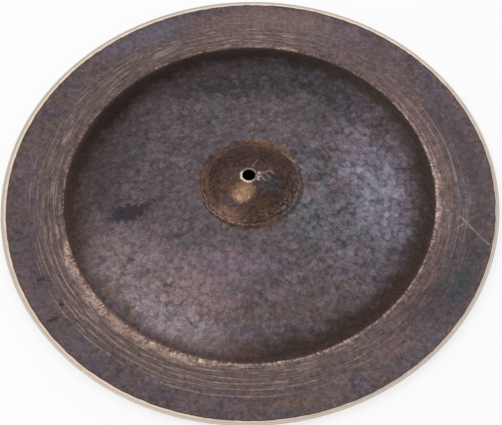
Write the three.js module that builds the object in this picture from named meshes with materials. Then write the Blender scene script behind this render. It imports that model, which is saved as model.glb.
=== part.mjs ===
// A china cymbal: one disc of cast bronze with a small bell, a hammered bow, a rolled shoulder, a sharp
// crease and a flange that turns up again, left unlathed but for the rings turned into the flange.
// Units are millimetres and +Z is up. The origin is on the axis, in the plane that the crease rests on.
import * as THREE from "three";

// Widths across the disc
const edgeDiameter = 457.2;
const flangeWidth = 56;
const bareEdgeWidth = 4;
const shoulderWidth = 18;
const bellDiameter = 86;
const bellFilletWidth = 4;
const landingDiameter = 21;
const holeDiameter = 12;
const holeChamfer = 0.3;

// Slopes of the top face from the axis outward, in degrees, where a fall is negative
const bellTopSlope = -5.5;
const bellRimSlope = -31;
const bowInnerSlope = -2;
const bowOuterSlope = -6;
const shoulderSlope = -32;
const flangeInnerSlope = 5;
const flangeOuterSlope = 10;
const bareEdgeSlope = 3;

// The sheet
const bellThickness = 1.4;
const creaseThickness = 1.05;
const edgeThickness = 0.8;
const creaseRadius = 2.4;
const restWidth = 0.9;

// Hammer marks on the bow, and how far one blow may differ from the next
const topRows = 11;
const topMarkDepth = 0.24;
const underRows = 6;
const underMarkDepth = 0.16;
const markSpreadShare = 0.5;
const markDriftShare = 0.12;
const scatter = { row: 127.1, mark: 311.7, kind: 74.7, gain: 43758.5 };

// Slow waves that hammering leaves in the bow
const waveHeight = 0.35;
const waves = [
  { around: 3, across: 1.0, turn: 0.7 },
  { around: 5, across: 1.6, turn: 2.9 },
  { around: 2, across: 2.3, turn: 4.4 },
];

// Rings turned into the flange: each falls sharply and runs out towards the next. The shares run from
// the crease to the bare edge.
const ringDepth = 0.14;
const ringStepWidth = 0.45;
const ringShares = [0.17, 0.27, 0.36, 0.465, 0.59];

// Facets round the disc and along each stretch of the profile
const rimSides = 80;
const bellSides = 48;
const underRimSides = 48;
const underBellSides = 32;
const domeSteps = 5;
const filletSteps = 3;
const shoulderSteps = 4;
const creaseSteps = 3;
const flangeSteps = 2;
const underFlangeSteps = 4;

const edgeRadius = edgeDiameter / 2;
const holeRadius = holeDiameter / 2;
const landingRadius = landingDiameter / 2;
const bellRadius = bellDiameter / 2;
const bowStart = bellRadius + bellFilletWidth;
const creaseOutside = edgeRadius - flangeWidth;
const bareEdgeStart = edgeRadius - bareEdgeWidth;

const radians = THREE.MathUtils.degToRad;

// The width that an arc of one radius takes while its slope goes from one angle to another
function arcWidth(radius, slopeIn, slopeOut) {
  return radius * (Math.sin(radians(slopeOut)) - Math.sin(radians(slopeIn)));
}

const creaseInside = creaseOutside - arcWidth(creaseRadius, shoulderSlope, flangeInnerSlope);
const shoulderStart = creaseInside - shoulderWidth;

// The top face as runs from the axis outward, each an arc or, where its slope holds, a straight line
const runs = [
  { end: landingRadius, slopeIn: 0, slopeOut: 0 },
  { end: bellRadius, slopeIn: bellTopSlope, slopeOut: bellRimSlope },
  { end: bowStart, slopeIn: bellRimSlope, slopeOut: bowInnerSlope },
  { end: shoulderStart, slopeIn: bowInnerSlope, slopeOut: bowOuterSlope },
  { end: creaseInside, slopeIn: bowOuterSlope, slopeOut: shoulderSlope },
  { end: creaseOutside, slopeIn: shoulderSlope, slopeOut: flangeInnerSlope },
  { end: bareEdgeStart, slopeIn: flangeInnerSlope, slopeOut: flangeOuterSlope },
  { end: edgeRadius, slopeIn: bareEdgeSlope, slopeOut: bareEdgeSlope },
];

// Height and slope of a run at a radius, with its height counted from its own start
function alongRun(run, radius) {
  const width = run.end - run.start;
  const sineIn = Math.sin(radians(run.slopeIn));
  const sineOut = Math.sin(radians(run.slopeOut));
  if (sineIn === sineOut) {
    const slope = radians(run.slopeIn);
    return { rise: (radius - run.start) * Math.tan(slope), slope };
  }
  const arc = width / (sineOut - sineIn);
  const slope = Math.asin(sineIn + (radius - run.start) / arc);
  return { rise: arc * (Math.cos(radians(run.slopeIn)) - Math.cos(slope)), slope };
}

let runStart = 0;
let runHeight = 0;
for (const run of runs) {
  run.start = runStart;
  run.height = runHeight;
  runHeight += alongRun(run, run.end).rise;
  runStart = run.end;
}

// Thickness thins from the bell to the crease and on to the edge
function thicknessAt(radius) {
  if (radius < creaseOutside) {
    const share = THREE.MathUtils.clamp((radius - bellRadius) / (creaseOutside - bellRadius), 0, 1);
    return THREE.MathUtils.lerp(bellThickness, creaseThickness, share);
  }
  return THREE.MathUtils.lerp(creaseThickness, edgeThickness, (radius - creaseOutside) / flangeWidth);
}

// A point of the top face, and the point of the underside straight through the sheet from it
function topPoint(radius) {
  const run = runs.find((each) => radius <= each.end) ?? runs.at(-1);
  const { rise, slope } = alongRun(run, radius);
  return { radius, height: run.height + rise, slope };
}

function underPoint(radius) {
  const { height, slope } = topPoint(radius);
  const thickness = thicknessAt(radius);
  return {
    radius: radius + thickness * Math.sin(slope),
    height: height - thickness * Math.cos(slope),
    slope,
  };
}

// The lowest point of the underside is where the crease is level
const restRadius = creaseOutside - arcWidth(creaseRadius, 0, flangeInnerSlope);
const restHeight = underPoint(restRadius).height;

// Slow waves, which fade out at the bell and at the shoulder
function waveAt(radius, angle) {
  const across = THREE.MathUtils.clamp((radius - bowStart) / (shoulderStart - bowStart), 0, 1);
  const fade = Math.sin(Math.PI * across) ** 2;
  let sum = 0;
  for (const wave of waves) {
    sum += Math.cos(wave.around * angle + wave.turn + 2 * Math.PI * wave.across * across);
  }
  return (waveHeight * fade * sum) / waves.length;
}

// A repeatable number from 0 to 1 for each blow, from the fraction of a fast wave
function chance(row, mark, kind) {
  const wave = Math.sin(row * scatter.row + mark * scatter.mark + kind * scatter.kind) * scatter.gain;
  return wave - Math.floor(wave);
}

// A ring of points round the axis. sides is how many, phase shifts them by a share of one side, and
// lift gives each its own height above the profile.
function ring({ radius, height }, sides, phase = 0, lift = () => 0) {
  const points = [];
  for (let side = 0; side < sides; side++) {
    const angle = (2 * Math.PI * (side + phase)) / sides;
    const raised = height - restHeight + waveAt(radius, angle) + lift(side);
    points.push(new THREE.Vector3(radius * Math.cos(angle), radius * Math.sin(angle), raised));
  }
  return { points, phase };
}

// Rings at even steps along one run, its start left out
function steppedRings(pointAt, from, to, steps, sides) {
  const made = [];
  for (let step = 1; step <= steps; step++) {
    made.push(ring(pointAt(THREE.MathUtils.lerp(from, to, step / steps)), sides));
  }
  return made;
}

// Hammered rows. Each mark is a shallow dish: a low point in the middle of its row, with high points
// between it and its neighbours, in its row and in the rings that part the rows.
function hammeredRings(pointAt, from, to, rows, depth, sidesAfter) {
  const pitch = (to - from) / rows;
  const made = [];
  for (let row = 0; row < rows; row++) {
    const middle = from + pitch * (row + 0.5);
    const marks = Math.round((2 * Math.PI * middle) / pitch);
    const phase = chance(row, 0, 1);
    const blow = (side) => {
      const deep = 1 + markSpreadShare * (2 * chance(row, side, 2) - 1);
      const drift = markDriftShare * (2 * chance(row, side, 3) - 1);
      return side % 2 ? depth * drift : -depth * deep;
    };
    made.push(ring(pointAt(middle), 2 * marks, phase, blow));
    const outer = from + pitch * (row + 1);
    const last = row === rows - 1;
    const outerSides = last ? sidesAfter : Math.round((2 * Math.PI * outer) / pitch);
    made.push(ring(pointAt(outer), outerSides, last ? 0 : chance(row, 1, 4)));
  }
  return made;
}

// The rings turned into the flange, which run out to nothing at the bare edge
function turnedRings() {
  const made = [];
  const width = bareEdgeStart - creaseOutside;
  const lowered = (point) => ({ ...point, height: point.height - ringDepth });
  for (const share of ringShares) {
    const radius = creaseOutside + share * width;
    made.push(ring(topPoint(radius), rimSides));
    made.push(ring(lowered(topPoint(radius + ringStepWidth)), rimSides));
  }
  const lastStep = creaseOutside + ringShares.at(-1) * width + ringStepWidth;
  made.push(...steppedRings(topPoint, lastStep, bareEdgeStart, flangeSteps, rimSides));
  return made;
}

// The underside of the crease, with a narrow flat that it rests on
function creaseUnderside() {
  const made = [];
  for (const side of [1, -1]) {
    made.push(ring({ radius: restRadius + (side * restWidth) / 2, height: restHeight }, underRimSides));
  }
  return made;
}

// All rings in order: out over the top face, round the edge, and back in under it
function allRings() {
  const top = [
    ring(topPoint(holeRadius + holeChamfer), bellSides),
    ring(topPoint(landingRadius), bellSides),
    ...steppedRings(topPoint, landingRadius, bellRadius, domeSteps, bellSides),
    ...steppedRings(topPoint, bellRadius, bowStart, filletSteps, bellSides),
    ...hammeredRings(topPoint, bowStart, shoulderStart, topRows, topMarkDepth, rimSides),
    ...steppedRings(topPoint, shoulderStart, creaseInside, shoulderSteps, rimSides),
    ...steppedRings(topPoint, creaseInside, creaseOutside, creaseSteps, rimSides),
    ...turnedRings(),
    ring(topPoint(edgeRadius), rimSides),
  ];
  const inward = (from, to, steps, sides = underRimSides) =>
    steppedRings(underPoint, to, from, steps, sides).reverse();
  const underMarks = hammeredRings(
    underPoint, bowStart, shoulderStart, underRows, -underMarkDepth, underRimSides,
  );
  const under = [
    ring({ radius: edgeRadius, height: topPoint(edgeRadius).height - edgeThickness }, rimSides),
    ...inward(bareEdgeStart, creaseOutside, underFlangeSteps),
    ring(underPoint(creaseOutside), underRimSides),
    ...creaseUnderside(),
    ...inward(creaseInside, shoulderStart, shoulderSteps),
    ...underMarks.reverse(),
    ...inward(bowStart, bellRadius, filletSteps, underBellSides),
    ...inward(bellRadius, landingRadius, domeSteps, underBellSides),
    ring(underPoint(landingRadius), underBellSides),
    ring(underPoint(holeRadius + holeChamfer), underBellSides),
    ring({ radius: holeRadius, height: holeChamfer - bellThickness }, bellSides),
    ring({ radius: holeRadius, height: -holeChamfer }, bellSides),
  ];
  return [...top, ...under];
}

// Joins two rings, whatever their numbers of points, by stepping on whichever has the nearer next point
function stitch(inner, outer, triangles) {
  const next = (each, step) => (step + 1 + each.phase) / each.points.length;
  const at = (each, step) => each.points[step % each.points.length];
  let a = 0;
  let b = 0;
  while (a < inner.points.length || b < outer.points.length) {
    const corners = [at(inner, a), at(outer, b)];
    const stepOuter =
      a === inner.points.length || (b < outer.points.length && next(outer, b) <= next(inner, a));
    if (stepOuter) {
      b += 1;
      corners.push(at(outer, b));
    } else {
      a += 1;
      corners.push(at(inner, a));
    }
    triangles.push(...corners);
  }
}

function makeCymbal() {
  const rings = allRings();
  const triangles = [];
  rings.forEach((each, place) => stitch(each, rings[(place + 1) % rings.length], triangles));
  const geometry = new THREE.BufferGeometry().setFromPoints(triangles);
  geometry.computeVertexNormals();
  const bronze = new THREE.MeshStandardMaterial({ color: 0x5f5356, roughness: 0.5, metalness: 0.85 });
  const mesh = new THREE.Mesh(geometry, bronze);
  mesh.name = "cymbal";
  return mesh;
}

const chinaCymbal = new THREE.Group();
chinaCymbal.add(makeCymbal());

export default chinaCymbal;
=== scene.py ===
"""A china cymbal's looks: its hammered, turned and darkened bronze as one fine mesh, on a pale floor."""
import bpy
import math
import numpy as np
from functools import reduce
from mathutils import Matrix, Vector
from typing import NamedTuple


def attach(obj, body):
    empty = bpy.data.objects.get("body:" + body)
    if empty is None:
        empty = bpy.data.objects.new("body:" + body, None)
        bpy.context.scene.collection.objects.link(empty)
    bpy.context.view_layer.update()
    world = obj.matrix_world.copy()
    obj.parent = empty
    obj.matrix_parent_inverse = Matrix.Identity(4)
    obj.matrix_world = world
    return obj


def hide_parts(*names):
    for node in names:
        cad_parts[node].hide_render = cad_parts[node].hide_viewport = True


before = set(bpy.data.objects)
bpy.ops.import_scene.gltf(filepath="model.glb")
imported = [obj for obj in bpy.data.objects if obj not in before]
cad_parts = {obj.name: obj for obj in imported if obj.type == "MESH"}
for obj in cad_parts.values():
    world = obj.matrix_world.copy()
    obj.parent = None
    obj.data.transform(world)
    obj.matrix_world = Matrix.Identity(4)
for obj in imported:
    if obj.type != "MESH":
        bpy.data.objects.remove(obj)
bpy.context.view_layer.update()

# Lengths are in millimetres and angles in degrees until the mesh is made, which is in metres
MM = 0.001

# Widths across the disc
EDGE_DIAMETER = 457.2
FLANGE_WIDTH = 56
BARE_EDGE_WIDTH = 4
SHOULDER_WIDTH = 18
BELL_DIAMETER = 86
BELL_FILLET_WIDTH = 4
LANDING_DIAMETER = 21
HOLE_DIAMETER = 12
HOLE_CHAMFER = 0.3

# Slopes of the top face from the axis outward, where a fall is negative
BELL_TOP_SLOPE = -5.5
BELL_RIM_SLOPE = -31
BOW_INNER_SLOPE = -2
BOW_OUTER_SLOPE = -6
SHOULDER_SLOPE = -32
FLANGE_INNER_SLOPE = 5
FLANGE_OUTER_SLOPE = 10
BARE_EDGE_SLOPE = 3

# The sheet
BELL_THICKNESS = 1.4
CREASE_THICKNESS = 1.05
EDGE_THICKNESS = 0.8
CREASE_RADIUS = 2.4

# Slow waves that hammering leaves in the bow: times around, times across, and turn in radians
WAVE_HEIGHT = 0.35
WAVES = [(3, 1.0, 0.7), (5, 1.6, 2.9), (2, 2.3, 4.4)]

# Rings turned into the flange, as shares of the way from the crease to the bare edge
RING_DEPTH = 0.14
RING_STEP_WIDTH = 0.45
RING_SHARES = [0.17, 0.27, 0.36, 0.465, 0.59]

EDGE_RADIUS = EDGE_DIAMETER / 2
HOLE_RADIUS = HOLE_DIAMETER / 2
LANDING_RADIUS = LANDING_DIAMETER / 2
BELL_RADIUS = BELL_DIAMETER / 2
BOW_START = BELL_RADIUS + BELL_FILLET_WIDTH
CREASE_OUTSIDE = EDGE_RADIUS - FLANGE_WIDTH
BARE_EDGE_START = EDGE_RADIUS - BARE_EDGE_WIDTH
LIP_START = EDGE_RADIUS - EDGE_THICKNESS / 2


def arc_width(radius, slope_in, slope_out):
    """The width that an arc of one radius takes while its slope goes from one angle to another"""
    return radius * (math.sin(math.radians(slope_out)) - math.sin(math.radians(slope_in)))


CREASE_INSIDE = CREASE_OUTSIDE - arc_width(CREASE_RADIUS, SHOULDER_SLOPE, FLANGE_INNER_SLOPE)
SHOULDER_START = CREASE_INSIDE - SHOULDER_WIDTH
REST_RADIUS = CREASE_OUTSIDE - arc_width(CREASE_RADIUS, 0, FLANGE_INNER_SLOPE)
RINGS = [CREASE_OUTSIDE + share * (BARE_EDGE_START - CREASE_OUTSIDE) for share in RING_SHARES]


class Run(NamedTuple):
    """A stretch of the top face, from one radius and slope to the next, starting at a height"""
    start: float
    end: float
    slope_in: float
    slope_out: float
    height: float


def along_run(run, radius):
    """Height and slope of a run at each radius"""
    sine_in, sine_out = math.sin(math.radians(run.slope_in)), math.sin(math.radians(run.slope_out))
    if sine_in == sine_out:
        slope = np.full_like(radius, math.radians(run.slope_in))
        return run.height + (radius - run.start) * np.tan(slope), slope
    arc = (run.end - run.start) / (sine_out - sine_in)
    slope = np.arcsin(sine_in + (radius - run.start) / arc)
    return run.height + arc * (math.cos(math.radians(run.slope_in)) - np.cos(slope)), slope


def make_runs():
    """The top face as runs from the axis outward"""
    ends = [
        (LANDING_RADIUS, 0, 0),
        (BELL_RADIUS, BELL_TOP_SLOPE, BELL_RIM_SLOPE),
        (BOW_START, BELL_RIM_SLOPE, BOW_INNER_SLOPE),
        (SHOULDER_START, BOW_INNER_SLOPE, BOW_OUTER_SLOPE),
        (CREASE_INSIDE, BOW_OUTER_SLOPE, SHOULDER_SLOPE),
        (CREASE_OUTSIDE, SHOULDER_SLOPE, FLANGE_INNER_SLOPE),
        (BARE_EDGE_START, FLANGE_INNER_SLOPE, FLANGE_OUTER_SLOPE),
        (EDGE_RADIUS, BARE_EDGE_SLOPE, BARE_EDGE_SLOPE),
    ]
    runs, start, height = [], 0.0, 0.0
    for end, slope_in, slope_out in ends:
        run = Run(start, end, slope_in, slope_out, height)
        runs.append(run)
        height = float(along_run(run, np.array([float(end)]))[0][0])
        start = end
    return runs


RUNS = make_runs()


def top_profile(radius):
    """Height and slope of the top face at each radius"""
    height, slope = np.zeros_like(radius), np.zeros_like(radius)
    for run in RUNS:
        here = (radius >= run.start) & (radius <= run.end)
        height[here], slope[here] = along_run(run, radius[here])
    return height, slope


def thickness_at(radius):
    """The sheet thins from the bell to the crease and on to the edge"""
    places = [BELL_RADIUS, CREASE_OUTSIDE, EDGE_RADIUS]
    return np.interp(radius, places, [BELL_THICKNESS, CREASE_THICKNESS, EDGE_THICKNESS])


def under_profile(radius):
    """The points of the underside straight through the sheet from the top face"""
    height, slope = top_profile(radius)
    thickness = thickness_at(radius)
    return radius + thickness * np.sin(slope), height - thickness * np.cos(slope)


REST_HEIGHT = float(under_profile(np.array([REST_RADIUS]))[1][0])


def fade(value, start, end):
    """0 up to start, 1 from end, and a smooth climb between"""
    share = np.clip((value - start) / (end - start), 0, 1)
    return share * share * (3 - 2 * share)


def waves_at(radius, angle):
    """Slow waves, which fade out at the bell and at the shoulder"""
    across = np.clip((radius - BOW_START) / (SHOULDER_START - BOW_START), 0, 1)
    total = sum(np.cos(around * angle + turn + 2 * math.pi * over * across) for around, over, turn in WAVES)
    return WAVE_HEIGHT * np.sin(math.pi * across) ** 2 * total / len(WAVES)


def ring_drop(radius):
    """How deep the turned rings cut: each falls sharply and runs out towards the next"""
    drop = np.zeros_like(radius)
    for start, after in zip(RINGS, RINGS[1:] + [BARE_EDGE_START]):
        fall = fade(radius, start, start + RING_STEP_WIDTH)
        rise = np.clip((after - radius) / (after - start - RING_STEP_WIDTH), 0, 1)
        drop += RING_DEPTH * fall * rise * (radius < after)
    return drop


class Blows(NamedTuple):
    """Hammer blows: where each struck, how deep, and two numbers of its own for its tone and hue"""
    x: np.ndarray
    y: np.ndarray
    depth: np.ndarray
    tone: np.ndarray
    hue: np.ndarray


def strike(start, end, pitch, depth, scatter, seed):
    """Blows in rows round the axis, each a little off its place"""
    random = np.random.default_rng(seed)
    shallowest, deepest = 0.6, 1.35
    rows = round((end - start) / pitch)
    parts = []
    for row in range(rows):
        radius = start + (end - start) * (row + 0.5) / rows
        count = round(2 * math.pi * radius / pitch)
        angle = 2 * math.pi * (np.arange(count) + random.random()) / count
        angle = angle + scatter * pitch / radius * random.uniform(-1, 1, count)
        reach = radius + scatter * pitch * random.uniform(-1, 1, count)
        deep = depth * random.uniform(shallowest, deepest, count)
        own = random.random((2, count))
        parts.append(np.stack([reach * np.cos(angle), reach * np.sin(angle), deep, *own]))
    return Blows(*np.concatenate(parts, axis=1))


class Dishes(NamedTuple):
    """At each point, the depth of the deepest dish, its tone and hue, and how near its rim it lies"""
    depth: np.ndarray
    tone: np.ndarray
    hue: np.ndarray
    rim: np.ndarray


def dish(x, y, blows, ball):
    """The dishes that a hammer's round face leaves: the deepest blow wins, and dishes meet in ridges"""
    made = Dishes(*np.zeros((4, len(x))))
    chunk, ridge = 2000, 0.07
    for first in range(0, len(x), chunk):
        here = slice(first, first + chunk)
        away = (x[here, None] - blows.x) ** 2 + (y[here, None] - blows.y) ** 2
        cut = blows.depth - away / (2 * ball)
        best = cut.argmax(axis=1)
        second, deepest = np.partition(cut, -2, axis=1)[:, -2:].T
        made.depth[here] = np.maximum(deepest, 0)
        made.tone[here], made.hue[here] = blows.tone[best], blows.hue[best]
        made.rim[here] = 1 - np.clip((deepest - np.maximum(second, 0)) / ridge, 0, 1)
    return made


# The roundness of each hammer's face, and its blows
TOP_BALL = 38
TOP_BLOWS = strike(start=BOW_START + 1, end=163, pitch=6.4, depth=0.18, scatter=0.36, seed=4)
UNDER_BALL = 110
UNDER_BLOWS = strike(start=BOW_START + 2, end=160, pitch=11, depth=0.15, scatter=0.3, seed=9)
FLANGE_BALL = 700
FLANGE_BLOWS = strike(
    start=CREASE_OUTSIDE + 6, end=BARE_EDGE_START - 4, pitch=19, depth=0.08, scatter=0.35, seed=12)

# The widths over which the marks fade in, past the bell's foot and past the crease
TOP_FADE_WIDTH = 6
UNDER_FADE_WIDTH = 8
FLANGE_FADE_WIDTH = 8

# The radii between which the marks fade out over the shoulder, and the share that is gone on top
TOP_FADE = (151, 166)
UNDER_FADE = (150, 166)
TOP_FADE_SHARE = 0.8

# How many mesh points go round a ring, apart from rings whose points are a step apart
CROWN_COUNT = 96
BELL_COUNT = 192
RIM_COUNT = 600
UNDER_RIM_COUNT = 300
FIXED_COUNTS = (CROWN_COUNT, BELL_COUNT, RIM_COUNT, UNDER_RIM_COUNT)


class Ring(NamedTuple):
    """A ring of mesh points round the axis, which stands at a radius and height above the rest plane"""
    radius: float
    height: float
    count: int
    face: str


class Stretch(NamedTuple):
    """Mesh rings from one radius towards another, with their step, and their points or 0 for a step apart"""
    start: float
    end: float
    step: float
    count: int


def lay_out(stretches):
    """The radius of each ring and how many points it has, with the end of each stretch left to the next"""
    made = []
    for start, end, step, count in stretches:
        steps = max(1, round(abs(end - start) / step))
        for radius in np.linspace(start, end, steps, endpoint=False):
            made.append((radius, count or round(2 * math.pi * radius / step)))
    return made


def top_stations():
    """Radii of the top face's rings from the hole outward, with how many points each has"""
    crown, bow_end = 17, 150
    stretches = [
        Stretch(HOLE_RADIUS + HOLE_CHAMFER, crown, 1.1, CROWN_COUNT),
        Stretch(crown, BOW_START, 1.15, BELL_COUNT),
        Stretch(BOW_START, bow_end, 1.32, 0),
        Stretch(bow_end, CREASE_INSIDE, 1.3, RIM_COUNT),
        Stretch(CREASE_INSIDE, CREASE_OUTSIDE, 0.55, RIM_COUNT),
        Stretch(CREASE_OUTSIDE, RINGS[0], 1.5, RIM_COUNT),
    ]
    for start, after in zip(RINGS, RINGS[1:] + [BARE_EDGE_START]):
        stretches.append(Stretch(start, start + RING_STEP_WIDTH, RING_STEP_WIDTH, RIM_COUNT))
        stretches.append(Stretch(start + RING_STEP_WIDTH, after, 1.8, RIM_COUNT))
    stretches.append(Stretch(BARE_EDGE_START, LIP_START, 0.9, RIM_COUNT))
    return lay_out(stretches)


def under_stations():
    """Radii of the underside's rings from the edge inward, with how many points each has"""
    return lay_out([
        Stretch(LIP_START, CREASE_OUTSIDE, 4, UNDER_RIM_COUNT),
        Stretch(CREASE_OUTSIDE, CREASE_INSIDE, 0.6, UNDER_RIM_COUNT),
        Stretch(CREASE_INSIDE, SHOULDER_START, 1.8, UNDER_RIM_COUNT),
        Stretch(SHOULDER_START, BOW_START, 2.9, 0),
        Stretch(BOW_START, HOLE_RADIUS + HOLE_CHAMFER, 2, CROWN_COUNT),
    ])


def edge_rings(height, count):
    """The lip round the edge, rolled over from the top face to the underside"""
    roll, steps = EDGE_THICKNESS / 2, 5
    made = []
    for step in range(steps + 1):
        turn = math.pi * step / steps
        radius = EDGE_RADIUS - roll + roll * math.sin(turn)
        made.append(Ring(radius, height - roll + roll * math.cos(turn), count, "lip"))
    return made


def hole_rings(height, count):
    """The wall of the hole from below, broken at both corners"""
    low, cut = height - BELL_THICKNESS, HOLE_CHAMFER / 3
    places = [(cut, low + cut), (0, low + HOLE_CHAMFER), (0, height - HOLE_CHAMFER), (cut, height - cut)]
    return [Ring(HOLE_RADIUS + out, place, count, "hole") for out, place in places]


def all_rings():
    """All rings in order: out over the top face, round the edge, and back in under it"""
    tops, unders = top_stations(), under_stations()
    radii = np.array([radius for radius, _ in tops])
    heights = top_profile(radii)[0] - ring_drop(radii) - REST_HEIGHT
    made = [Ring(r, h, count, "top") for r, h, (_, count) in zip(radii, heights, tops)]
    lip_height = float(top_profile(np.array([LIP_START]))[0][0]) - REST_HEIGHT
    made += edge_rings(lip_height, tops[-1][1])
    radii, heights = under_profile(np.array([radius for radius, _ in unders]))
    heights = np.maximum(heights - REST_HEIGHT, 0)
    made += [Ring(r, h, count, "under") for r, h, (_, count) in zip(radii[1:], heights[1:], unders[1:])]
    return made + hole_rings(-REST_HEIGHT, tops[0][1])


class Points(NamedTuple):
    """The mesh points, their dishes, and where each ring starts among them"""
    place: np.ndarray
    tone: np.ndarray
    hue: np.ndarray
    rim: np.ndarray
    first: list


def ring_phase(place, ring):
    """How far a ring is turned, as a share of its step: only where counts change, so that no seam lines up"""
    golden_share = 0.618
    return 0.0 if ring.count in FIXED_COUNTS else (place * golden_share) % 1


def make_points(rings):
    """Every point of the mesh, with the hammer's and the lathe's marks"""
    radius = np.concatenate([np.full(ring.count, ring.radius) for ring in rings])
    height = np.concatenate([np.full(ring.count, ring.height) for ring in rings])
    angle = np.concatenate([
        2 * math.pi * (np.arange(ring.count) + ring_phase(place, ring)) / ring.count
        for place, ring in enumerate(rings)
    ])
    face = np.concatenate([np.full(ring.count, ring.face) for ring in rings])
    x, y = radius * np.cos(angle), radius * np.sin(angle)
    height = height + waves_at(radius, angle)
    tone, hue, rim = np.full_like(x, 0.5), np.full_like(x, 0.5), np.zeros_like(x)

    top = (face == "top") & (radius > BOW_START) & (radius < CREASE_INSIDE)
    depth, tone[top], hue[top], rim[top] = dish(x[top], y[top], TOP_BLOWS, TOP_BALL)
    strength = fade(radius[top], BOW_START, BOW_START + TOP_FADE_WIDTH)
    strength *= 1 - TOP_FADE_SHARE * fade(radius[top], *TOP_FADE)
    height[top] -= depth * strength
    rim[top] *= strength

    flange = (face == "top") & (radius > CREASE_OUTSIDE) & (radius < BARE_EDGE_START)
    depth = dish(x[flange], y[flange], FLANGE_BLOWS, FLANGE_BALL).depth
    height[flange] -= depth * fade(radius[flange], CREASE_OUTSIDE, CREASE_OUTSIDE + FLANGE_FADE_WIDTH)

    under = (face == "under") & (radius > BOW_START) & (radius < CREASE_INSIDE)
    depth, tone[under], hue[under], rim[under] = dish(x[under], y[under], UNDER_BLOWS, UNDER_BALL)
    strength = fade(radius[under], BOW_START, BOW_START + UNDER_FADE_WIDTH)
    height[under] += depth * strength * (1 - fade(radius[under], *UNDER_FADE))

    first = [0] + list(np.cumsum([ring.count for ring in rings]))
    return Points(np.stack([x, y, height], axis=1), tone, hue, rim, first)


def stitch(rings, points, faces, a, b):
    """Joins ring a to ring b, stepping on whichever has the nearer next point"""
    count_a, count_b = rings[a].count, rings[b].count
    first_a, first_b = points.first[a], points.first[b]
    if count_a == count_b and ring_phase(a, rings[a]) == ring_phase(b, rings[b]):
        for side in range(count_a):
            after = (side + 1) % count_a
            faces.append((first_a + side, first_b + side, first_b + after, first_a + after))
        return
    phase_a, phase_b = ring_phase(a, rings[a]), ring_phase(b, rings[b])
    step_a = step_b = 0
    while step_a < count_a or step_b < count_b:
        here = (first_a + step_a % count_a, first_b + step_b % count_b)
        next_a, next_b = (step_a + 1 + phase_a) / count_a, (step_b + 1 + phase_b) / count_b
        if step_a == count_a or (step_b < count_b and next_b <= next_a):
            step_b += 1
            faces.append((*here, first_b + step_b % count_b))
        else:
            step_a += 1
            faces.append((*here, first_a + step_a % count_a))


def add_object(name, data):
    """A new object in the scene"""
    made = bpy.data.objects.new(name, data)
    bpy.context.scene.collection.objects.link(made)
    return made


def make_cymbal():
    """The whole cymbal as one closed mesh"""
    rings = all_rings()
    points = make_points(rings)
    faces = []
    for place in range(len(rings)):
        stitch(rings, points, faces, place, (place + 1) % len(rings))
    mesh = bpy.data.meshes.new("hammered_cymbal")
    mesh.from_pydata((points.place * MM).tolist(), [], faces)
    for name, values in (("tone", points.tone), ("hue", points.hue), ("rim", points.rim)):
        mesh.attributes.new(name, "FLOAT", "POINT").data.foreach_set("value", values.astype(np.float32))
    mesh.update()
    mesh.shade_smooth()
    return add_object("hammered_cymbal", mesh)


def linear(*colour):
    """A colour written as it looks on a screen, from 0 to 255, as the linear values that a shader takes"""
    shares = [value / 255 for value in colour]
    return (*[s / 12.92 if s <= 0.04045 else ((s + 0.055) / 1.055) ** 2.4 for s in shares], 1.0)


class Field:
    """A value at each point of a surface: a node's output, which arithmetic joins to others"""

    def __init__(self, tree, socket):
        self.tree, self.socket = tree, socket

    def worked(self, operation, *values):
        node = self.tree.nodes.new("ShaderNodeMath")
        node.operation = operation
        for slot, value in zip(node.inputs, values):
            put(self.tree, slot, value)
        return Field(self.tree, node.outputs[0])

    def __add__(self, other):
        return self.worked("ADD", self, other)

    def __sub__(self, other):
        return self.worked("SUBTRACT", self, other)

    def __rsub__(self, other):
        return self.worked("SUBTRACT", other, self)

    def __mul__(self, other):
        return self.worked("MULTIPLY", self, other)

    def __truediv__(self, other):
        return self.worked("DIVIDE", self, other)

    __radd__, __rmul__ = __add__, __mul__

    def most(self, other):
        return self.worked("MAXIMUM", self, other)

    def absolute(self):
        return self.worked("ABSOLUTE", self)

    def root(self):
        return self.worked("SQRT", self)

    def climb(self, start, end, low=0.0, high=1.0):
        """low up to start, high from end, and a smooth climb between, which needs no clamp of its own"""
        node = self.tree.nodes.new("ShaderNodeMapRange")
        node.interpolation_type, node.clamp = "SMOOTHSTEP", False
        for slot, value in zip(node.inputs, (self, start, end, low, high)):
            put(self.tree, slot, value)
        return Field(self.tree, node.outputs[0])

    def near(self, middle, half, soft):
        """1 within half of the middle, and a smooth fall to 0 over the soft width"""
        return (self - middle).absolute().climb(half, half + soft, 1.0, 0.0)


def most_of(fields):
    """The most of several fields at each point"""
    return reduce(Field.most, fields)


def put(tree, slot, value):
    """Links a field to a node's input, or sets a plain value there"""
    if isinstance(value, Field):
        tree.links.new(value.socket, slot)
    else:
        slot.default_value = value


class Mark(NamedTuple):
    """A soft patch: its middle, length and breadth, turn in degrees, tint on a screen, and strength"""
    x: float
    y: float
    long: float
    broad: float
    turn: float
    tint: tuple
    share: float


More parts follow.
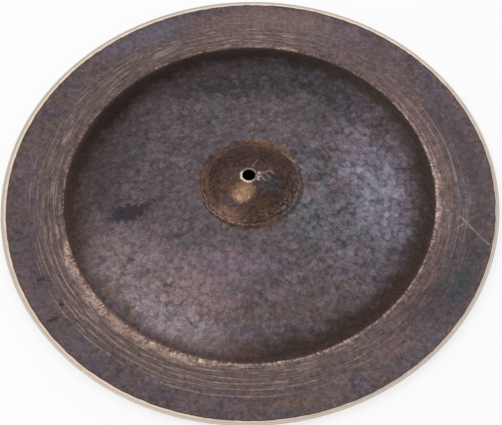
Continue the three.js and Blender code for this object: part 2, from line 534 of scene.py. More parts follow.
class Surface:
    """Where a point of the cymbal lies, in millimetres, and the patterns that its material is made of"""

    def __init__(self, tree):
        self.tree, self.kept = tree, {}
        coordinates = self.node("ShaderNodeTexCoord")
        spot = self.placed(Field(tree, coordinates.outputs["Object"]), (MM, MM, MM))
        x, y, z = self.split(spot, "XYZ")
        radius = (x * x + y * y).root()
        grain, reach = 4, 15
        noise = self.noise(self.placed(spot, (grain, grain, grain)), 3, "Color")
        sway = [(each - 0.5) * reach for each in self.split(noise, "Color")]
        # The renderer has little room for values that wait to be used. A place that is kept as one colour is
        # ready for every pattern at once, so each pattern is finished before the next one starts.
        self.place = self.joined(x, y, z)
        self.flat = self.joined(x, y, 1.0)
        self.ragged = self.joined(x + sway[0], y + sway[1], 1.0)
        self.around = self.joined(x / radius, y / radius, radius)
        radii = self.joined(radius, radius + sway[2], 0.0)
        self.radius, self.ragged_radius = self.along(radii, (1, 0, 0)), self.along(radii, (0, 1, 0))
        upward = self.split(Field(tree, coordinates.outputs["Normal"]), "XYZ")[2]
        self.below = upward.climb(-0.1, 0.1, 1.0, 0.0)

    def node(self, kind, **settings):
        made = self.tree.nodes.new(kind)
        for name, value in settings.items():
            setattr(made, name, value)
        return made

    def joined(self, *values):
        """Three values kept as one colour"""
        node = self.node("ShaderNodeCombineColor")
        for slot, value in zip(node.inputs, values):
            put(self.tree, slot, value)
        return Field(self.tree, node.outputs[0])

    def split(self, whole, kind):
        node = self.node("ShaderNodeSeparate" + kind)
        put(self.tree, node.inputs[0], whole)
        return [Field(self.tree, each) for each in node.outputs]

    def along(self, place, direction):
        """How far a place lies in a direction: the dot product of the two"""
        node = self.node("ShaderNodeVectorMath", operation="DOT_PRODUCT")
        put(self.tree, node.inputs[0], place)
        node.inputs[1].default_value = direction
        return Field(self.tree, node.outputs["Value"])

    def seen(self, place, middle, turn, long, broad):
        """How far a place lies along and across from a middle, in shares of a length and a breadth

        The place is a flat one whose third value is 1, which takes the middle into the dot product."""
        cosine, sine = math.cos(math.radians(turn)), math.sin(math.radians(turn))
        x, y = middle
        lengthways = [each / long for each in (cosine, sine, -x * cosine - y * sine)]
        sideways = [each / broad for each in (-sine, cosine, x * sine - y * cosine)]
        return self.along(place, lengthways), self.along(place, sideways)

    def placed(self, vector, unit, middle=(0, 0, 0), turn=0):
        """A vector as seen from a middle, turned by so many degrees, in shares of a unit for each axis"""
        node = self.node("ShaderNodeMapping", vector_type="TEXTURE")
        put(self.tree, node.inputs["Vector"], vector)
        node.inputs["Location"].default_value = middle
        node.inputs["Rotation"].default_value = (0, 0, math.radians(turn))
        node.inputs["Scale"].default_value = unit
        return Field(self.tree, node.outputs[0])

    def attribute(self, name):
        return Field(self.tree, self.node("ShaderNodeAttribute", attribute_name=name).outputs["Fac"])

    def noise(self, vector, detail, output="Fac"):
        node = self.node("ShaderNodeTexNoise")
        put(self.tree, node.inputs["Vector"], vector)
        node.inputs["Scale"].default_value = 1
        node.inputs["Detail"].default_value = detail
        node.inputs["Roughness"].default_value = 0.55
        return Field(self.tree, node.outputs[output])

    def clouds(self, size, seed, detail=2):
        """Cloudy noise, mostly from 0.35 to 0.65, whose clouds are about size millimetres across"""
        name = (size, seed, detail)
        if name not in self.kept:
            away = [-seed * step for step in (37.0, -71.0, 53.0)]
            vector = self.placed(self.place, (size, size, size), away)
            self.kept[name] = self.noise(vector, detail)
        return self.kept[name]

    def strokes(self, across, along, seed, detail=2):
        """Noise drawn out round the axis into strokes, so many millimetres across and along"""
        turn, step = along / CREASE_OUTSIDE, 7.3
        vector = self.placed(self.around, (turn, turn, across), (-seed * step * turn, 0, 0))
        return self.noise(vector, detail)

    def uneven(self, share):
        """The radius with a share of its raggedness"""
        return self.radius * (1 - share) + self.ragged_radius * share

    def toward(self, angle, spread):
        """1 in one direction from the axis, and a smooth fall to 0 at so many degrees to either side"""
        direction = (math.cos(math.radians(angle)), math.sin(math.radians(angle)), 0)
        return self.along(self.around, direction).climb(math.cos(math.radians(spread)), 1.0)

    def sides(self, *sides):
        """The most of several sides: each a direction, a spread and a strength"""
        return most_of(self.toward(angle, spread) * strength for angle, spread, strength in sides)

    def mix(self, share, first, second, **settings):
        """A colour that is first where the share is 0 and second where it is 1"""
        node = self.node("ShaderNodeMix", data_type="RGBA", **settings)
        for place, value in ((0, share), (6, first), (7, second)):
            put(self.tree, node.inputs[place], value)
        return Field(self.tree, node.outputs[2])

    def brightened(self, colour, level):
        """A colour times a level, which may be over 1"""
        return self.mix(level, (0, 0, 0, 1), colour, clamp_factor=False)

    def painted(self, colour, marks, soft=0.9):
        """A colour with marks laid over it in turn, whose ragged edges are soft over a share of their size"""
        for mark in marks:
            u, v = self.seen(self.ragged, (mark.x, mark.y), mark.turn, mark.long / 2, mark.broad / 2)
            share = (u * u + v * v).root().climb(1 - soft / 2, 1 + soft / 2, mark.share, 0.0)
            colour = self.mix(share, colour, linear(*mark.tint))
        return colour

    def clouded(self, colour, tints, seed):
        """A colour with clouds of other tints in it: each a tint, a size and a strength"""
        for place, (tint, size, share) in enumerate(tints):
            cloud = self.clouds(size, seed + 3 * place).climb(0.47, 0.64, 0.0, share)
            colour = self.mix(cloud, colour, linear(*tint))
        return colour

    def line(self, x1, y1, x2, y2, width):
        """1 on a straight line from one place to another, and a smooth fall to 0 at its sides and ends"""
        turn, length = math.degrees(math.atan2(y2 - y1, x2 - x1)), math.hypot(x2 - x1, y2 - y1)
        u, v = self.seen(self.flat, ((x1 + x2) / 2, (y1 + y2) / 2), turn, length, width)
        return u.absolute().climb(0.35, 0.5, 1.0, 0.0) * v.absolute().climb(0.1, 0.9, 1.0, 0.0)

    def scratched(self, colour, scratches, tint, share):
        """A colour with straight scratches of one tint in it, which have gaps"""
        lines = most_of(self.line(*scratch) for scratch in scratches)
        gaps = self.clouds(2.2, 95).climb(0.38, 0.56, 0.25 * share, share)
        return self.mix(lines * gaps, colour, linear(*tint))


# Patches of other tints on each part of the top, in the order that they are laid on
# Painted light among the bow's patches: the pale violet-grey ones on the right and near left are painted
# highlight, the dark ones on the far side are painted shade, and the rest are patina
BOW_MARKS = [
    Mark(117, -18, 92, 44, 80, (130, 125, 139), 0.8),
    Mark(99, 18, 36, 30, 80, (136, 130, 145), 0.6),
    Mark(136, -54, 34, 14, 68, (124, 119, 131), 0.7),
    Mark(-28, -86, 80, 34, -10, (121, 102, 111), 0.7),
    Mark(12, -100, 24, 20, 0, (78, 70, 74), 0.6),
    Mark(108, -50, 24, 20, 0, (90, 87, 94), 0.6),
    Mark(87, -77, 28, 22, 0, (118, 108, 114), 0.5),
    Mark(80, 104, 56, 28, -38, (42, 34, 36), 0.8),
    Mark(48, 29, 30, 26, 0, (70, 64, 68), 0.6),
    Mark(-142, -66, 44, 12, -64, (80, 65, 65), 0.7),
    Mark(101, 40, 60, 34, -60, (122, 107, 122), 0.6),
    Mark(62, -38, 60, 60, 0, (84, 85, 92), 0.45),
    Mark(-86, -98, 150, 60, -41, (128, 109, 110), 0.75),
    Mark(-66, -132, 84, 24, -26, (132, 121, 126), 0.65),
    Mark(-46, -112, 60, 34, -20, (134, 106, 106), 0.65),
    Mark(32, -126, 110, 24, 8, (92, 76, 70), 0.6),
    Mark(-8, 126, 200, 50, 0, (52, 45, 46), 0.85),
    Mark(70, 68, 60, 26, -40, (72, 65, 68), 0.6),
    Mark(87, 108, 54, 24, -40, (50, 42, 45), 0.8),
    Mark(-116, 58, 120, 46, 62, (68, 59, 60), 0.6),
    Mark(100, 92, 90, 40, -45, (64, 57, 62), 0.55),
    Mark(-134, -6, 70, 32, 88, (66, 57, 58), 0.7),
    Mark(-141, -30, 24, 14, 80, (110, 96, 98), 0.75),
    Mark(-116, -113, 64, 11, -45, (66, 54, 52), 0.75),
    Mark(118, -92, 60, 30, 50, (94, 87, 95), 0.5),
    Mark(143, 38, 46, 16, -70, (112, 96, 100), 0.5),
]
STAIN_MARKS = [
    Mark(-110, -28, 38, 19, 12, (72, 60, 63), 0.6),
    Mark(-111, -27, 31, 16, 12, (53, 48, 54), 1),
    Mark(-95, -21, 22, 7, 18, (57, 53, 55), 0.9),
    Mark(-120, -30, 12, 8, -20, (50, 51, 56), 0.8),
    Mark(-105, -31, 14, 5, 10, (62, 50, 56), 0.6),
]
BELL_MARKS = [
    Mark(2, 20, 50, 20, 0, (58, 45, 43), 0.55),
    Mark(-26, 14, 16, 34, 25, (60, 45, 42), 0.5),
    Mark(20, -10, 22, 26, 20, (54, 55, 60), 0.65),
    Mark(-15, -27, 26, 10, -35, (58, 54, 57), 0.65),
    Mark(-19, -34, 28, 8, -30, (124, 88, 79), 0.65),
    Mark(8, -31, 20, 12, 10, (78, 61, 46), 0.6),
    Mark(-16, 2, 20, 16, 0, (94, 72, 67), 0.5),
]
# Painted highlight: a light patch where the light falls on the near side of the bell
BELL_PAINTED_HIGHLIGHT = [
    Mark(-5, -16.5, 22, 20, 75, (136, 104, 82), 0.85),
    Mark(-5, -19, 15, 11, 60, (168, 137, 106), 0.6),
]
FILLET_MARKS = [
    Mark(15, 42.5, 30, 7, -18, (136, 92, 68), 0.65),
    Mark(-25.5, 29.5, 40, 6, 48, (104, 78, 64), 0.5),
    Mark(-40, 0, 6, 44, 6, (112, 78, 60), 0.5),
    Mark(45, 5, 7, 36, 0, (66, 50, 45), 0.55),
    Mark(4, -45, 40, 7, 4, (62, 43, 38), 0.6),
    Mark(20, -44.5, 17, 6, 22, (112, 76, 58), 0.5),
    Mark(34, 34, 20, 7, -48, (96, 79, 62), 0.55),
    Mark(-23, -37, 34, 6, -30, (104, 77, 62), 0.55),
]
FLANGE_MARKS = [
    Mark(176, -92, 100, 46, 62, (65, 60, 65), 0.85),
    Mark(176, -103, 34, 24, 60, (64, 68, 72), 0.7),
    Mark(118, -132, 22, 12, 40, (118, 88, 72), 0.5),
    Mark(150, -113, 76, 30, 52, (68, 60, 62), 0.85),
    Mark(214, -14, 60, 18, 88, (84, 75, 77), 0.6),
    Mark(194, 46, 116, 34, 104, (76, 67, 70), 0.75),
    Mark(0, -197, 72, 26, 0, (78, 66, 68), 0.65),
    Mark(-180, -115, 30, 24, 60, (102, 88, 92), 0.5),
    Mark(-177, -44, 56, 18, -76, (76, 64, 62), 0.6),
    Mark(114, -171, 26, 14, 30, (108, 86, 76), 0.35),
    Mark(40, -209, 60, 12, 8, (112, 88, 76), 0.45),
    Mark(12, 200, 130, 34, 0, (124, 97, 88), 0.5),
    Mark(-84, 192, 60, 24, 26, (92, 86, 97), 0.6),
    Mark(60, 195, 120, 30, -18, (116, 96, 97), 0.4),
    Mark(-205, 20, 60, 18, 85, (104, 86, 98), 0.4),
    Mark(-190, -70, 80, 30, -70, (80, 71, 76), 0.5),
    Mark(-150, -150, 50, 24, -45, (90, 82, 86), 0.4),
    Mark(-110, 180, 80, 24, 32, (98, 89, 98), 0.5),
]

# Scratches, nicks and dashes: from one place to another, and how wide
STAR_SCRATCHES = [
    (9, 1, 23, 6, 1.6), (3, 8, 9, 18, 1.4), (14, 3, 20, -4, 1.2), (10, 1, 15, -7, 1.2), (17, 6, 24, 2, 1.1),
]
LANDING_NICKS = [(7.2, -6.0, 9.8, -1.2, 2.6), (8.0, 0.4, 10.0, 3.4, 2.2)]
FILLET_SCRATCHES = [(29, 33, 54, 11, 1.6)]
FLANGE_SCRATCHES = [
    (189, -33, 215, -74, 1.6), (178, -18, 184, -35, 1.6),
    (173, -23, 184, -32, 1.2), (184, -50, 199, -40, 1.1),
]
FLANGE_DASHES = [
    (-178, -132, -166, -126, 3), (-190, -90, -181, -89, 3), (-167.4, -112.4, -162.8, -116.2, 3.4),
]

# Arcs of painted highlight at the foot of the bell, on the sides where the light falls: radius, direction,
# spread and strength
FILLET_HIGHLIGHT_ARCS = [
    (42.8, 205, 75, 1), (45.6, 236, 70, 1), (42.0, -35, 60, 0.9), (46.4, -15, 75, 0.8), (44.4, 20, 50, 0.7),
]


# Each function below colours one part. Radii and sizes are in millimetres, sides are in degrees from the
# right, and noise climbs between two of its levels, which lie about 0.5.


def struck(on, colour, lively):
    """Hammer marks: each has its own tone and hue, with a dark ridge round it; the light dishes and dark
    ridges are partly painted highlight and painted shade, scaled by lively
    """
    tone, hue, rim = (on.attribute(name) for name in ("tone", "hue", "rim"))
    violet, steel = linear(112, 92, 112), linear(88, 96, 104)
    colour = on.mix(hue.climb(0.55, 0.95) * lively * 0.3, colour, violet)
    colour = on.mix(hue.climb(0.45, 0.05) * lively * 0.3, colour, steel)
    level = tone.climb(0.0, 1.0, 0.82, 1.2) - rim.climb(0.25, 0.95) * 0.36
    return on.brightened(colour, (level - 1) * lively + 1)


def ticks(on, colour, share):
    """Short fine scratches that run two ways, and small dark pits"""
    long, broad = 9, 0.9
    for turn, away in ((-34, 300), (52, 600)):
        lines = on.noise(on.placed(on.flat, (long, broad, 1), (away, 0, 0), turn), 1)
        colour = on.mix(lines.climb(0.66, 0.74, 0.0, share), colour, linear(150, 138, 140))
    pits = on.clouds(2.6, 93, 1).climb(0.66, 0.72, 0.0, share)
    return on.mix(pits, colour, linear(50, 42, 44))


def bow_colour(on):
    """The bow: grey-violet patina with clouds, and round hammer marks, with painted highlight on the right
    and near left and painted shade on the far side
    """
    tints = [
        ((108, 90, 93), 26, 0.6), ((78, 80, 88), 32, 0.4), ((90, 79, 72), 18, 0.5),
        ((68, 60, 61), 8, 0.5), ((110, 96, 100), 6, 0.5), ((72, 63, 61), 3.5, 0.45),
    ]
    colour = on.painted(on.clouded(linear(92, 80, 83), tints, 1), BOW_MARKS)
    # Painted light: the right and the near left are where the light falls; there the hammer marks are painted
    # with more contrast, and the clouds below are painted reflection
    lively_start, lively_full = 90, 125
    near_left = on.toward(232, 45) * on.radius.climb(lively_start, lively_full)
    lively = on.toward(-6, 62).climb(0.0, 0.8, 0.62, 1.0).most(near_left * 0.9)
    colour = on.mix(on.clouds(7, 97).climb(0.54, 0.62) * lively * 0.3, colour, linear(92, 102, 110))
    colour = on.mix(on.clouds(5, 98).climb(0.53, 0.60) * near_left * 0.45, colour, linear(100, 98, 106))
    colour = on.mix(on.clouds(4, 99).climb(0.55, 0.62) * near_left * 0.5, colour, linear(88, 70, 68))
    colour = ticks(on, struck(on, colour, lively), 0.35)
    return on.painted(colour, STAIN_MARKS, 0.25)


def bell_colour(on):
    """The bell: brown and rust, with a light patch of painted highlight and scratches that run round it"""
    tints = [
        ((94, 62, 54), 13, 0.6), ((47, 33, 31), 9, 0.6), ((80, 59, 57), 6, 0.5), ((96, 64, 50), 4, 0.3),
    ]
    rust_ring, dark_ring = 41.5, 35.8
    landing_start, landing_end = HOLE_RADIUS + 1.2, HOLE_RADIUS + 2.6
    front_start, front_full, round_start, round_full = 34, 40, 38, 42
    colour = on.clouded(linear(68, 49, 43), tints, 20)
    away = on.uneven(0.5)
    far = on.toward(128, 112).climb(0, 0.7)
    colour = on.mix(away.near(rust_ring, 2.8, 3.0) * far * 0.75, colour, linear(112, 82, 66))
    colour = on.mix(away.near(dark_ring, 0.6, 1.8) * on.toward(140, 85) * 0.6, colour, linear(46, 37, 34))
    colour = on.painted(on.painted(colour, BELL_MARKS, 1.1), BELL_PAINTED_HIGHLIGHT, 0.6)
    spots = on.clouds(2.8, 29, 3)
    colour = on.mix(spots.climb(0.52, 0.64) * 0.3, colour, linear(106, 86, 76))
    colour = on.mix(spots.climb(0.47, 0.36) * 0.4, colour, linear(42, 36, 36))
    lines = on.strokes(1.2, 16, 2, 1).climb(0.54, 0.66)
    reach = on.radius.climb(front_start, front_full) * on.toward(-42, 70)
    reach = reach + on.radius.climb(round_start, round_full) * 0.35
    colour = on.mix(lines * reach * 0.6, colour, linear(136, 122, 110))
    colour = on.scratched(colour, STAR_SCRATCHES, (140, 128, 126), 0.65)
    colour = on.scratched(colour, LANDING_NICKS, (196, 180, 174), 1)
    landing = on.uneven(0.25).climb(landing_start, landing_end, 1.0, 0.0)
    rim = on.mix(on.toward(222, 115), linear(126, 111, 107), linear(206, 186, 174))
    return on.mix(landing * spots.climb(0.3, 0.5, 0.6, 1.0), colour, rim)


def fillet_colour(on, colour):
    """The ring at the foot of the bell, where the patina has turned to rust, with light arcs and glints of
    painted highlight
    """
    rust_ring, mottled_ring, glint_ring = 45.6, 44, 44.5
    aside = on.along(on.around, (2.0, -2.2, 0))
    band = (on.uneven(0.5) - aside).near(rust_ring, 1.2, 2.4)
    far = on.toward(105, 110).climb(0, 0.7)
    colour = on.mix(band * 0.8, colour, on.mix(far, linear(56, 41, 36), linear(92, 67, 54)))
    colour = on.painted(colour, FILLET_MARKS, 1.2)
    mottled = on.clouds(5, 19).climb(0.50, 0.62) * on.radius.near(mottled_ring, 2, 3)
    colour = on.mix(mottled * 0.7, colour, linear(56, 42, 37))
    wobble = on.radius + (on.strokes(8, 14, 17) - 0.5) * 4
    broken = on.strokes(0.9, 7, 5, 2).climb(0.40, 0.56)
    # Painted highlight: thin light arcs along the ring, broken into pieces
    arcs = most_of(
        wobble.near(radius, 0.0, 0.9) * on.toward(angle, spread) * strength
        for radius, angle, spread, strength in FILLET_HIGHLIGHT_ARCS)
    warm = on.mix(on.toward(215, 100), linear(142, 127, 116), linear(158, 130, 107))
    colour = on.mix(arcs * broken * 0.7, colour, warm)
    glints = on.radius.near(glint_ring, 1.5, 2) * on.toward(225, 60)
    glints = glints * on.strokes(0.8, 2.5, 6).climb(0.60, 0.68)
    colour = on.mix(glints * 0.5, colour, linear(180, 152, 130))
    return on.scratched(colour, FILLET_SCRATCHES, (152, 134, 126), 0.55)


def shoulder_colour(on, colour):
    """The shoulder: dark brown patina and painted shade, darkest on the far side, with a darker band of
    painted shade on the bow beside it, and painted light on the near left where the light falls
    """
    haze_start, far_haze_start, haze_width = 134, 116, 32
    dark_start, far_dark_start, dark_width = 147, 138, 20
    # Painted light: the shoulder is paler on the near left, where the light falls
    lit_side = on.toward(236, 44)
    wander = on.ragged_radius + (on.clouds(22, 31) - 0.5) * 26 + (on.clouds(7, 32) - 0.5) * 12
    # Painted shade: a darker band on the bow, which starts nearer the axis on the far side and fades out on
    # the lit side
    start = on.toward(140, 80).climb(0, 1, haze_start, far_haze_start)
    shaded_haze = (wander - start).climb(0, haze_width) * lit_side.climb(0, 1, 0.55, 0.0)
    colour = on.mix(shaded_haze, colour, linear(63, 51, 49))
    # The shoulder's dark brown is patina and painted shade: darkest on the far side, where its slope faces
    # away from the light
    far = on.toward(112, 85)
    start = far.climb(0, 1, dark_start, far_dark_start)
    dark = (wander - start).climb(0, dark_width) * lit_side.climb(0, 1, 1.0, 0.35)
    tint = on.mix(far, linear(60, 48, 43), linear(32, 18, 13))
    return on.mix(dark, colour, on.mix(lit_side, tint, linear(88, 68, 62)))


def turned_colour(on):
    """The flange: violet, blue-grey and brown, with light lines turned into it"""
    tints = [
        ((112, 88, 93), 22, 0.65), ((76, 76, 91), 20, 0.6), ((94, 80, 68), 14, 0.5),
        ((66, 58, 60), 8, 0.6), ((110, 94, 96), 4.5, 0.4), ((68, 60, 58), 3, 0.3),
    ]
    inner_end, outer_start = 188, 208
    rubbed_end, unrubbed_start = 180, 196
    long_ring, long_reach = 188, 9
    colour = on.painted(on.clouded(linear(89, 77, 79), tints, 40), FLANGE_MARKS)
    kept = on.sides(
        (228, 75, 1), (145, 60, 0.5), (30, 60, 0.15), (95, 40, 0.6), (282, 40, 0.25), (-2, 34, 0.2))
    kept = kept.climb(0, 0.6, 0.2, 1.0)
    spread = on.radius + (on.clouds(18, 44) - 0.5) * 24
    inner = spread.climb(inner_end, outer_start, 1.0, 0.0)
    colour = on.mix(inner * kept * 0.6, colour, linear(98, 82, 76))
    dark = on.strokes(1.0, 30, 12, 1).climb(0.52, 0.68) * inner
    colour = on.mix(dark * 0.5, colour, linear(66, 54, 51))
    pale = on.mix(on.toward(145, 60), linear(152, 130, 120), linear(152, 131, 123))
    fine = on.strokes(0.8, 26, 11, 1).climb(0.50, 0.68)
    colour = on.mix(fine * inner * kept * 0.45, colour, linear(130, 111, 103))
    short = on.strokes(1.2, 24, 16, 0).climb(0.62, 0.72)
    colour = on.mix(short * inner * kept * 0.7, colour, pale)
    rubbed = spread.climb(rubbed_end, unrubbed_start, 1.0, 0.0) * on.toward(2, 62)
    rubbed = rubbed * on.strokes(1.8, 12, 33).climb(0.36, 0.56)
    colour = on.mix(rubbed * 0.7, colour, on.mix(short, linear(112, 86, 81), linear(146, 116, 108)))
    long = on.strokes(1.3, 130, 18, 0).climb(0.62, 0.72)
    long = long * on.radius.near(long_ring, long_reach, long_reach)
    colour = on.mix(long * on.toward(15, 50) * 0.55, colour, linear(138, 121, 122))
    drifted = on.radius + (on.strokes(30, 60, 13) - 0.5) * 4
    main = on.strokes(2.5, 20, 14).climb(0.46, 0.56)
    lines = most_of(drifted.near(ring, 0.0, 0.8) for ring in RINGS)
    return on.mix(lines * main * kept * 0.6, colour, pale)


def worn_colour(on, colour):
    """The start of the flange, rubbed bright in uneven stretches, with dark nicks across them"""
    narrow_end, wide_end, fade_width = 175.5, 182.5, 5
    full_end, faint_start = 175, 181
    strong = on.sides((228, 44, 1), (282, 40, 0.35), (-2, 26, 0.55), (88, 30, 0.4), (160, 50, 0.15))
    stretches = on.strokes(12, 16, 21)
    width = on.radius + (stretches - 0.5) * 14 + (on.strokes(1.4, 4, 26, 3) - 0.5) * 4
    band_end = strong.climb(0, 1, narrow_end, wide_end)
    band = (band_end - width).climb(0, fade_width) * strong.climb(0, 1, 0.3, 1.0)
    rubbed = on.strokes(1.3, 6, 22) + on.clouds(3.0, 30)
    hue = on.mix(on.clouds(11, 24).climb(0.42, 0.58), linear(158, 130, 113), linear(163, 136, 131))
    colour = on.mix(band * rubbed.climb(0.72, 1.02, 0.45, 1.0), colour, hue)
    bright = rubbed.climb(0.96, 1.2) * stretches.climb(0.62, 0.46, 0.3, 1.0)
    bright = bright * on.radius.climb(faint_start, full_end, 0.4, 1.0)
    colour = on.mix(band * bright * 0.9, colour, linear(208, 184, 167))
    line = on.radius.near(CREASE_OUTSIDE + 1, 0.3, 1.2) * on.toward(-30, 85).climb(0, 0.5)
    colour = on.mix(line * on.strokes(3, 8, 29).climb(0.40, 0.54) * 0.65, colour, linear(178, 158, 152))
    nicks = on.strokes(5, 1.3, 23, 1).climb(0.55, 0.64) * on.clouds(9, 27).climb(0.38, 0.52)
    close = on.radius.climb(full_end, faint_start, 1.0, 0.0)
    colour = on.mix(close * nicks * 0.85, colour, linear(66, 50, 46))
    return on.mix(band * on.strokes(1.8, 4, 28).climb(0.56, 0.64) * 0.5, colour, linear(92, 72, 65))


def crease_colour(on, colour):
    """The crease: a dark line of painted shade whose outer side is nicked, and paler with painted light on
    the near left and the right
    """
    line_start, line_full, line_end = 166.0, 170.5, 172.4
    nicks = on.radius + (on.strokes(2.2, 2.6, 25, 3) - 0.5) * 8 + (on.strokes(9, 14, 28) - 0.5) * 4
    # Painted light: paler on the near left and the right, where the light falls
    lit_side = on.toward(228, 50).climb(0, 0.8).most(on.toward(2, 30) * 0.7)
    # Painted shade: the dark line in the crease
    dark = on.ragged_radius.climb(line_start, line_full) * (nicks - line_end).climb(0.0, 1.4, 1.0, 0.0)
    tint = on.mix(on.toward(125, 80), linear(70, 54, 49), linear(68, 50, 40))
    return on.mix(dark * lit_side.climb(0, 1, 0.85, 0.7), colour, on.mix(lit_side, tint, linear(74, 57, 52)))


def edge_colour(on, colour):
    """The bare metal at the edge, with a brown line where the patina ends and a fine dark line in it"""
    brown_start, brown_full = BARE_EDGE_START - 1.7, BARE_EDGE_START - 1
    rim_start, rim_full, dark_ring = EDGE_RADIUS - 2.4, EDGE_RADIUS - 1.8, EDGE_RADIUS - 2.1
    lip_start, lip_full = EDGE_RADIUS - 0.7, EDGE_RADIUS - 0.2
    wander = on.radius + (on.clouds(9, 51) - 0.5) * 1.6
    wander = wander - on.toward(-35, 85) * 0.9 + on.toward(145, 85) * 0.5
    brown = wander.climb(brown_start, brown_full)
    colour = on.mix(brown * 0.85, colour, linear(84, 60, 52))
    cream = on.mix(on.clouds(14, 52).climb(0.4, 0.6), linear(218, 200, 188), linear(206, 191, 173))
    cream = on.brightened(cream, 1 + on.toward(120, 95) * 0.16 - on.toward(-30, 80) * 0.2)
    bare = on.mix(on.radius.climb(rim_start, rim_full), cream, linear(196, 184, 172))
    bare = on.mix(on.radius.near(dark_ring, 0.1, 0.5) * 0.45, bare, linear(128, 112, 96))
    bare = on.mix(on.radius.climb(lip_start, lip_full), bare, linear(184, 175, 169))
    return on.mix(wander.climb(BARE_EDGE_START - 0.4, BARE_EDGE_START), colour, bare)


def under_colour(on):
    """The underside: the same patina, plainer, with turned lines all over"""
    tints = [
        ((102, 82, 82), 26, 0.6), ((76, 77, 84), 32, 0.6), ((78, 65, 54), 18, 0.5), ((62, 54, 54), 8, 0.4),
    ]
    colour = on.clouded(linear(82, 71, 70), tints, 1)
    colour = on.mix(on.strokes(1.2, 60, 31).climb(0.52, 0.66) * 0.35, colour, linear(122, 105, 98))
    foot = on.ragged_radius.near(BOW_START - 1, 3, 4)
    colour = on.mix(foot * 0.5, colour, linear(62, 47, 41))
    return struck(on, colour, 0.8)


def bronze_material():
    """Darkened bronze, rubbed bright where it is touched and bare at the edge, with painted highlight and
    shade in its colour
    """
    material = bpy.data.materials.new("darkened_bronze")
    material.use_nodes = True
    tree = material.node_tree
    tree.nodes.clear()
    on = Surface(tree)

    colour = on.mix(on.ragged_radius.climb(BELL_RADIUS + 1, BOW_START), bell_colour(on), bow_colour(on))
    colour = shoulder_colour(on, fillet_colour(on, colour))
    flange = on.radius.climb(CREASE_OUTSIDE - 1.1, CREASE_OUTSIDE + 0.2)
    colour = crease_colour(on, on.mix(flange, colour, worn_colour(on, turned_colour(on))))
    colour = on.scratched(colour, FLANGE_DASHES, (50, 44, 47), 1)
    colour = on.scratched(colour, FLANGE_SCRATCHES, (156, 136, 122), 0.6)
    grain, speckle = on.clouds(1.5, 71, 2), on.clouds(4, 72, 3)
    colour = on.brightened(colour, grain.climb(0.3, 0.7, 0.80, 1.20) * speckle.climb(0.3, 0.7, 0.80, 1.20))
    colour = edge_colour(on, colour)
    bare = on.radius.climb(BARE_EDGE_START - 0.4, BARE_EDGE_START + 0.2)
    colour = on.mix(on.below * (1 - bare), colour, under_colour(on))

    bump = on.node("ShaderNodeBump")
    flange_middle, flange_half = 198, 26
    grain_height, pit_height, lathe_height = 0.05, 0.07, 0.09
    lathe = on.strokes(0.9, 200, 81, 1) * on.radius.near(flange_middle, flange_half, 3)
    relief = grain * grain_height + on.clouds(3.2, 82, 2) * pit_height + lathe * lathe_height
    put(tree, bump.inputs["Height"], relief)
    bump.inputs["Distance"].default_value = MM

    shader = on.node("ShaderNodeBsdfPrincipled")
    smooth, rough = 0.36, 0.46
    metallic, less_if_bare = 0.6, 0.15
    put(tree, shader.inputs["Base Color"], colour)
    put(tree, shader.inputs["Roughness"], on.clouds(9, 83).climb(0.35, 0.65, smooth, rough))
    put(tree, shader.inputs["Metallic"], metallic - bare * less_if_bare)
    shader.inputs["Specular IOR Level"].default_value = 0.2
    tree.links.new(bump.outputs[0], shader.inputs["Normal"])
    output = on.node("ShaderNodeOutputMaterial")
    tree.links.new(shader.outputs[0], output.inputs[0])
    return material


def pale_material(name, shaded):
    """A pale finish that looks white, and, if shaded, has a painted shadow round the axis, where only the
    hole shows it
    """
    pale, dark, glow_share = 0.9, 0.02, 0.75
    dark_reach, glow_reach = (60, 160), (150, 225)
    material = bpy.data.materials.new(name)
    material.use_nodes = True
    tree = material.node_tree
    shader = tree.nodes["Principled BSDF"]
    shader.inputs["Base Color"].default_value = (pale, pale, pale, 1)
    shader.inputs["Roughness"].default_value = 0.9
    shader.inputs["Specular IOR Level"].default_value = 0.1
    path = tree.nodes.new("ShaderNodeLightPath")
    seen = Field(tree, path.outputs["Is Camera Ray"]).most(Field(tree, path.outputs["Is Glossy Ray"]))
    seen = seen.most(Field(tree, path.outputs["Is Transmission Ray"])) * glow_share
    if shaded:
        coordinates = tree.nodes.new("ShaderNodeTexCoord")
        split = tree.nodes.new("ShaderNodeSeparateXYZ")
        tree.links.new(coordinates.outputs["Object"], split.inputs[0])
        x, y = (Field(tree, split.outputs[axis]) / MM for axis in (0, 1))
        radius = (x * x + y * y).root()
        # Painted shadow: the floor is dark under the cymbal, round the axis
        put(tree, shader.inputs["Base Color"], radius.climb(*dark_reach, dark, pale))
        seen = seen * radius.climb(*glow_reach)
    glow = tree.nodes.new("ShaderNodeEmission")
    blend = tree.nodes.new("ShaderNodeMixShader")
    put(tree, blend.inputs[0], seen)
    tree.links.new(shader.outputs[0], blend.inputs[1])
    tree.links.new(glow.outputs[0], blend.inputs[2])
    tree.links.new(blend.outputs[0], tree.nodes["Material Output"].inputs[0])
    return material


def make_floor():
    """A pale floor, which keeps the cymbal's shadow and has a painted shadow under it, with a plain
    underside, in metres
    """
    half, top, bottom = 8.0, -0.0002, -0.02
    mesh = bpy.data.meshes.new("floor")
    around = ((-half, -half), (half, -half), (half, half), (-half, half))
    corners = [(x, y, z) for z in (top, bottom) for x, y in around]
    mesh.from_pydata(corners, [], [(0, 1, 2, 3), (7, 6, 5, 4)])
    mesh.materials.append(pale_material("pale_floor_painted_shadow", True))
    mesh.materials.append(pale_material("pale_underside", False))
    mesh.polygons[1].material_index = 1
    floor = add_object("floor", mesh)


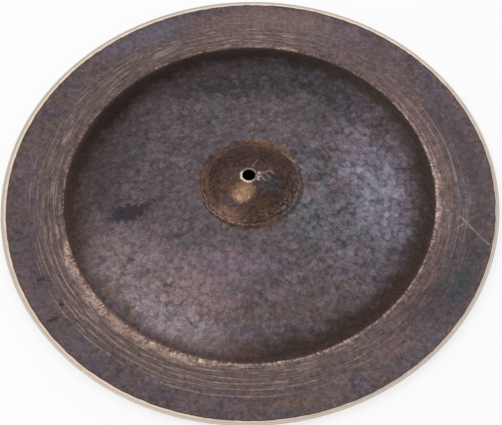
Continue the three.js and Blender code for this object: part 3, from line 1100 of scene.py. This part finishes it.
def make_world():
    """A soft even sky, a little paler overhead than at the horizon"""
    world = bpy.data.worlds.new("studio")
    world.use_nodes = True
    tree = world.node_tree
    background = tree.nodes["Background"]
    coordinates = tree.nodes.new("ShaderNodeTexCoord")
    split = tree.nodes.new("ShaderNodeSeparateXYZ")
    tree.links.new(coordinates.outputs["Generated"], split.inputs[0])
    horizon, overhead = 0.6, 0.85
    level = Field(tree, split.outputs[2]).climb(0.0, 1.0, horizon, overhead)
    background.inputs["Color"].default_value = (1, 1, 1, 1)
    put(tree, background.inputs["Strength"], level)
    bpy.context.scene.world = world


def make_lamp(name, direction, distance, size, power, colour):
    """A square soft light that faces the cymbal from a direction, in metres and watts"""
    data = bpy.data.lights.new(name, "AREA")
    data.shape, data.size, data.energy, data.color = "SQUARE", size, power, colour
    lamp = add_object(name, data)
    toward = Vector(direction).normalized()
    lamp.location = toward * distance
    lamp.rotation_euler = toward.to_track_quat("Z", "Y").to_euler()


def make_camera():
    """The photograph's view: from the front, looking steeply down"""
    target = Vector((1.0, -28.6, 8.1)) * MM
    elevation, distance, roll = math.radians(58.87), 889 * MM, math.radians(1.64)
    focal_pixels, picture_width = 978, 502
    back = Vector((0, -math.cos(elevation), math.sin(elevation)))
    right = Vector((1, 0, 0))
    up = back.cross(right)
    data = bpy.data.cameras.new("view")
    data.sensor_fit, data.sensor_width = "HORIZONTAL", 36
    data.lens = focal_pixels / picture_width * data.sensor_width
    camera = add_object("view", data)
    turned = Matrix((right, up, back)).transposed().to_4x4() @ Matrix.Rotation(-roll, 4, "Z")
    camera.matrix_world = Matrix.Translation(target + back * distance) @ turned
    bpy.context.scene.camera = camera


make_camera()
cymbal = make_cymbal()
cymbal.data.materials.append(bronze_material())
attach(cymbal, "root")
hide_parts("cymbal")
make_floor()
make_world()
make_lamp("key", (-0.42, -0.05, 0.9), distance=1.6, size=0.9, power=5.6, colour=(1.0, 0.975, 0.96))
make_lamp("fill", (0.2, 0.5, 0.84), distance=1.7, size=0.6, power=2.2, colour=(0.9, 0.94, 1.0))
bpy.context.scene.view_settings.view_transform = "Standard"
